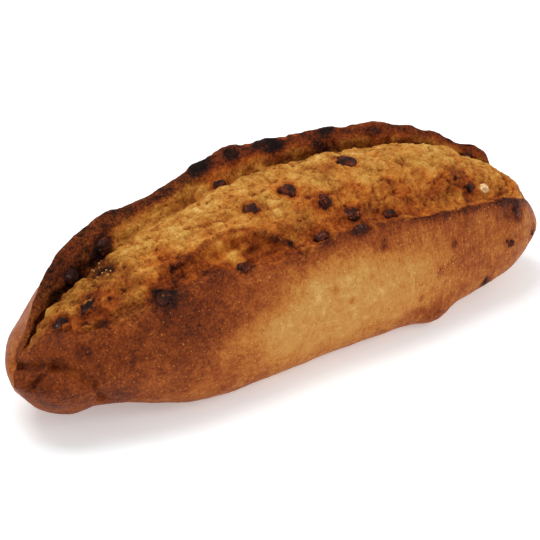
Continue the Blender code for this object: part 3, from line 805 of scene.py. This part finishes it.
# Tones of crust, of dry crumb and of amber crumb at seven stages of baking, from pale to burnt
BAKING_STAGES = (0.0, 0.17, 0.34, 0.5, 0.67, 0.84, 1.0)
CRUST_TONES = (
    (222, 176, 106), (196, 142, 72), (184, 115, 49), (155, 79, 30), (116, 50, 16), (66, 26, 10), (24, 12, 8),
)
TAN_TONES = (
    (240, 212, 148), (212, 165, 86), (187, 130, 54), (152, 95, 33), (108, 56, 17), (56, 25, 9), (18, 10, 7),
)
AMBER_TONES = (
    (228, 172, 84), (206, 134, 52), (184, 102, 34), (152, 72, 22), (112, 47, 14), (62, 24, 10), (20, 10, 7),
)
# The crust's fine lines run along the loaf on the far part of the flank, in metres
LINE_STRETCH = (1.0, 0.14, 0.14)
LINES_FROM = -0.02
LINES_FULL = 0.05

crust, tree, shader = new_material("baked_crust")
position, lengthwise = spot_in(tree)
# The darkness read from the loaf: the oven's browning, with painted shade and painted light added in places
baked_and_shaded, torn_share, amber_share = (node(tree, "ShaderNodeAttribute", attribute_name=label).outputs["Fac"]
                                  for label in ("bake_and_shade", "torn", "amber"))
patches, specks = grain_of(tree, position, patch_scale=320, speck_scale=950)
smooth_share = maths(tree, "SUBTRACT", 1.0, torn_share)
blisters = maths(tree, "MULTIPLY", dots_of(tree, position, scale=500, size=0.18, share=0.75), smooth_share)
grit = maths(tree, "MULTIPLY", dots_of(tree, position, scale=700, size=0.24, share=0.25), smooth_share)
flecks = maths(tree, "MULTIPLY", dots_of(tree, position, scale=150, size=0.13, share=0.25), smooth_share)
crumb_pits = maths(tree, "MULTIPLY", dots_of(tree, position, scale=520, size=0.26, share=0.16), torn_share)
stretch = node(tree, "ShaderNodeVectorMath", {0: position, 1: LINE_STRETCH}, operation="MULTIPLY")
far_flank = maths(tree, "MULTIPLY", mapped(tree, lengthwise, LINES_FROM, LINES_FULL), smooth_share)
_, lines = grain_of(tree, stretch.outputs[0], patch_scale=320, speck_scale=1100)
striae = maths(tree, "MULTIPLY", lines, far_flank)
grain_shift = maths(tree, "MULTIPLY", specks, total(tree, (torn_share, 0.12), 0.28, (baked_and_shaded, 0.3)))
patch_shift = maths(tree, "MULTIPLY", patches, total(tree, (torn_share, 0.12), 0.42))
# The pits of the crumb are darkened here as painted shade
toast_and_shade = total(tree, baked_and_shaded, grain_shift, patch_shift, (striae, 0.3), (blisters, -0.44), (grit, 0.2),
              (flecks, 0.14), (crumb_pits, 0.2))
crumb_colour = blended(tree, amber_share, ramp(tree, toast_and_shade, BAKING_STAGES, TAN_TONES),
                       ramp(tree, toast_and_shade, BAKING_STAGES, AMBER_TONES))
height = total(tree, (specks, 1.0), (striae, 0.4), (blisters, 0.5), (crumb_pits, -1.2),
               (maths(tree, "MULTIPLY", patches, torn_share), 2.5))
fill(tree, shader, {
    "Base Color": blended(tree, torn_share, ramp(tree, toast_and_shade, BAKING_STAGES, CRUST_TONES), crumb_colour),
    "Normal": bumps(tree, height, strength=0.75, distance=0.0008),
    "Roughness": mapped(tree, torn_share, low=0.5, high=0.7),
    "Specular IOR Level": 0.08,
})
loaf.data.materials.append(crust)
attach(loaf, "root")
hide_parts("loaf")

# The diced dried figs: dark, wrinkled and a little sticky, with pale seeds in their cut faces.
# They were kneaded into the dough and stand partly out of the crust, where the oven shrank them.
FIG_STAGES = (0.2, 0.5, 0.72, 0.9)
FIG_TONES = ((24, 10, 6), (60, 22, 9), (112, 46, 20), (150, 76, 36))
FIG_SEED_TONE = (196, 140, 78)
# Towards the near tip the figs are more deeply baked, in metres along the loaf
DARKER_FROM = -0.06
DARKEST_AT = -0.085
fig_flesh, tree, shader = new_material("baked_fig")
position, lengthwise = spot_in(tree)
patches, specks = grain_of(tree, position, patch_scale=380, speck_scale=1500)
seeds = dots_of(tree, position, scale=750, size=0.3, share=0.1)
sticky = dots_of(tree, position, scale=330, size=0.5, share=0.3)
near_end = mapped(tree, lengthwise, DARKER_FROM, DARKEST_AT)
flesh_tone = total(tree, 0.5, (patches, 1.6), (specks, 0.4), (near_end, -0.15))
fill(tree, shader, {
    "Base Color": blended(tree, seeds, ramp(tree, flesh_tone, FIG_STAGES, FIG_TONES), srgb(*FIG_SEED_TONE)),
    "Normal": bumps(tree, total(tree, patches, (specks, 0.3)), strength=0.9, distance=0.0012),
    "Roughness": mapped(tree, sticky, low=0.6, high=0.18),
    "Coat Weight": maths(tree, "MULTIPLY", sticky, 0.4),
    "Coat Roughness": 0.12,
    "Specular IOR Level": 0.15,
})

WELD_GAP = 0.01 * MM
SMOOTHINGS = 3
WRINKLE_SIZE = 2.8 * MM
WRINKLE_LEVEL = 0.45
FRUIT_CREASE = 0.8 * MM


def dressed(name, source, finish, seed):
    """A finer copy of a solid piece, shrunken unevenly and creased."""
    mesh = source.data.copy()
    piece = placed(name, mesh)
    mesh.materials.clear()
    mesh.materials.append(finish)
    piece.modifiers.new("weld", "WELD").merge_threshold = WELD_GAP
    smooth = piece.modifiers.new("smooth", "SUBSURF")
    smooth.levels = smooth.render_levels = SMOOTHINGS
    bpy.context.view_layer.update()
    finer = bpy.data.meshes.new_from_object(piece.evaluated_get(bpy.context.evaluated_depsgraph_get()))
    piece.modifiers.clear()
    piece.data = finer
    points = np.array([vert.co for vert in finer.vertices])
    normals = np.array([vert.normal for vert in finer.vertices])
    depth = clefts(points, WRINKLE_SIZE, seed) - WRINKLE_LEVEL
    depth += roughness(points, ((0.7, 1.6, seed), (1, 4, seed + 5)))
    points += normals * (FRUIT_CREASE * depth)[:, None]
    finer.vertices.foreach_set("co", points.ravel())
    finer.shade_smooth()
    return piece


figs = sorted(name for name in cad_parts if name.startswith("fig"))
for number, name in enumerate(figs):
    fig = dressed(name + "_flesh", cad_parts[name], fig_flesh, 11.0 + number)
    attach(fig, "root")
    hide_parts(name)

# Loose fig seeds: pale, hard and shiny grains that came out of the fruit and baked fast to the crumb,
# most of them in the crevice under the ear at the near end. Places are in millimetres.
SEED_SPOTS = (
    (-82.8, 4.8, 55.9), (-82.8, 1.9, 55.9), (-81.1, 1.5, 57.3), (-83.1, -3.7, 58.1), (-80.8, -3.2, 58.9),
    (-81.9, -6.8, 58.2), (-80, -6.2, 59.1), (-84.2, 4.2, 54.4), (-85.4, -3.5, 57), (-79.5, 3.5, 58),
)
# How long, wide and tall a seed is in millimetres, how it narrows to one end, and its turn to the next
SEED_SIZE = (1.0, 0.75, 0.7)
SEED_NARROWING = 0.3
SEED_TURN = 2.4
SEED_STAGES = (0.3, 0.7)
SEED_TONES = ((150, 88, 40), (222, 170, 104))
seed_shell, tree, shader = new_material("fig_seed")
patches, specks = grain_of(tree, spot_in(tree)[0], patch_scale=900, speck_scale=2500)
seed_tone = total(tree, 0.5, (patches, 1.5), (specks, 0.5))
fill(tree, shader, {"Base Color": ramp(tree, seed_tone, SEED_STAGES, SEED_TONES), "Roughness": 0.3})
skin_points = grid.reshape(-1, 3)
skin_normals = normals_of(grid).reshape(-1, 3)
made = bmesh.new()
for number, spot in enumerate(SEED_SPOTS):
    nearest = int(np.argmin(np.linalg.norm(skin_points - MM * np.array(spot), axis=1)))
    upright = Vector(skin_normals[nearest]).to_track_quat("Z", "X").to_matrix().to_4x4()
    lie = Matrix.Translation(skin_points[nearest]) @ upright @ Matrix.Rotation(SEED_TURN * number, 4, "Z")
    grains = bmesh.ops.create_icosphere(made, subdivisions=3, radius=0.5 * MM)["verts"]
    for vert in grains:
        pointed = 1 - SEED_NARROWING * vert.co.x / MM
        long, wide, tall = (side * size for side, size in zip(vert.co, SEED_SIZE))
        vert.co = lie @ Vector((long, wide * pointed, tall * pointed))
mesh = bpy.data.meshes.new("fig_seeds")
made.to_mesh(mesh)
made.free()
mesh.shade_smooth()
mesh.materials.append(seed_shell)
seeds_piece = placed("fig_seeds", mesh)
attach(seeds_piece, "root")

# The nut piece at the far end of the tear: a cream chip of kernel with a toasted edge.
NUT_STAGES = (0.25, 0.5, 0.75)
NUT_TONES = ((186, 120, 62), (232, 192, 136), (246, 222, 178))
nut_flesh, tree, shader = new_material("baked_nut")
patches, specks = grain_of(tree, spot_in(tree)[0], patch_scale=500, speck_scale=1600)
nut_tone = total(tree, 0.5, (patches, 1.5), (specks, 0.6))
fill(tree, shader, {
    "Base Color": ramp(tree, nut_tone, NUT_STAGES, NUT_TONES),
    "Normal": bumps(tree, patches, strength=0.5, distance=0.0005),
    "Roughness": 0.55,
})
nut = dressed("nut_01_kernel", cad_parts["nut_01"], nut_flesh, 41.0)
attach(nut, "root")
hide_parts("nut_01")

# The studio: a white sweep under a large soft light, seen from a little above the loaf's near side.
FLOOR_SIZE = 6.0
FLOOR_TONE = (0.90, 0.94, 0.96, 1)
FLOOR_GLOW = 0.30
WHITE = (1, 1, 1, 1)
AIM = Vector((-0.0015, -0.0069, 0.0321))
AZIMUTH = math.radians(-37)
ELEVATION = math.radians(30)
DISTANCE = 1.1
SENSOR_WIDTH = 36
LENS = 175.9
# Place, size and power of each light
SOFTBOXES = {
    "top_softbox": ((-0.2, 0.35, 1.3), 0.9, 12),
    "front_softbox": ((0.5, -1.3, 0.9), 0.9, 7),
}
SURROUND = 0.5

floor_mesh = bpy.data.meshes.new("floor")
half = FLOOR_SIZE / 2
corners = [(-half, -half, 0), (half, -half, 0), (half, half, 0), (-half, half, 0)]
floor_mesh.from_pydata(corners, [], [(0, 1, 2, 3)])
floor = placed("floor", floor_mesh)
paper, tree, shader = new_material("white_sweep")
fill(tree, shader, {
    "Base Color": FLOOR_TONE, "Roughness": 0.9, "Emission Color": WHITE, "Emission Strength": FLOOR_GLOW})
floor_mesh.materials.append(paper)

level_reach = math.cos(ELEVATION)
backward = Vector((math.sin(AZIMUTH) * level_reach, -math.cos(AZIMUTH) * level_reach, math.sin(ELEVATION)))
camera_data = bpy.data.cameras.new("camera")
camera_data.sensor_width = SENSOR_WIDTH
camera_data.lens = LENS
camera = placed("camera", camera_data)
camera.location = AIM + backward * DISTANCE
camera.rotation_euler = (-backward).to_track_quat("-Z", "Y").to_euler()
bpy.context.scene.camera = camera

for name, (spot, size, power) in SOFTBOXES.items():
    light = bpy.data.lights.new(name, "AREA")
    light.shape = "SQUARE"
    light.size = size
    light.energy = power
    lamp = placed(name, light)
    lamp.location = spot
    lamp.rotation_euler = (AIM - Vector(spot)).to_track_quat("-Z", "Y").to_euler()
world = bpy.data.worlds.new("studio")
world.use_nodes = True
fill(world.node_tree, world.node_tree.nodes["Background"], {"Color": WHITE, "Strength": SURROUND})
bpy.context.scene.world = world
bpy.context.scene.view_settings.view_transform = "Standard"
